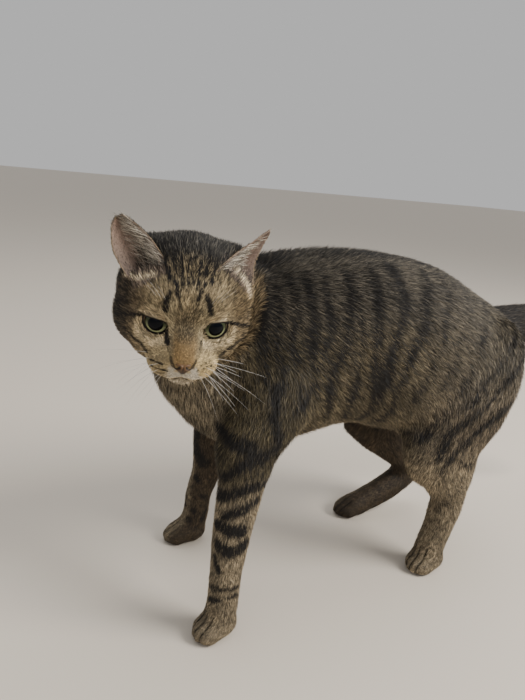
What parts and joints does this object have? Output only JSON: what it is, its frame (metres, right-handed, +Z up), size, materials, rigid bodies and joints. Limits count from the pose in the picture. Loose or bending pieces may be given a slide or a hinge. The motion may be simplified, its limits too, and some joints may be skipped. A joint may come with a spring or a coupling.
{
  "type": "domestic cat",
  "caption": "Short-haired striped domestic cat, life size, standing with one hind leg trailing, its head turned to its left and its tail carried level, then drooping.",
  "frame": {"origin": "middle of the whole cat's bounding box, on the floor under the paws", "axes": "+Z up; the body points along -Y, so the cat's left side is +X and its tail is towards +Y"},
  "size_m": [0.1492, 0.5716, 0.3012],
  "materials": {
    "coat": "short brown fur with dark stripes",
    "ear": "thin-haired skin",
    "eye": "wet gloss",
    "nose": "moist, finely pitted skin"
  },
  "bodies": {
    "root": {"head": "coat", "neck": "coat", "trunk": "coat", "tail": "coat", "ear_left": "ear", "ear_right": "ear", "eye_left": "eye", "eye_right": "eye", "nose": "nose", "foreleg_left": "coat", "foreleg_right": "coat", "forepaw_left": "coat", "forepaw_right": "coat", "thigh_left": "coat", "thigh_right": "coat", "shank_left": "coat", "shank_right": "coat", "hindfoot_left": "coat", "hindfoot_right": "coat"}
  },
  "joints": []
}
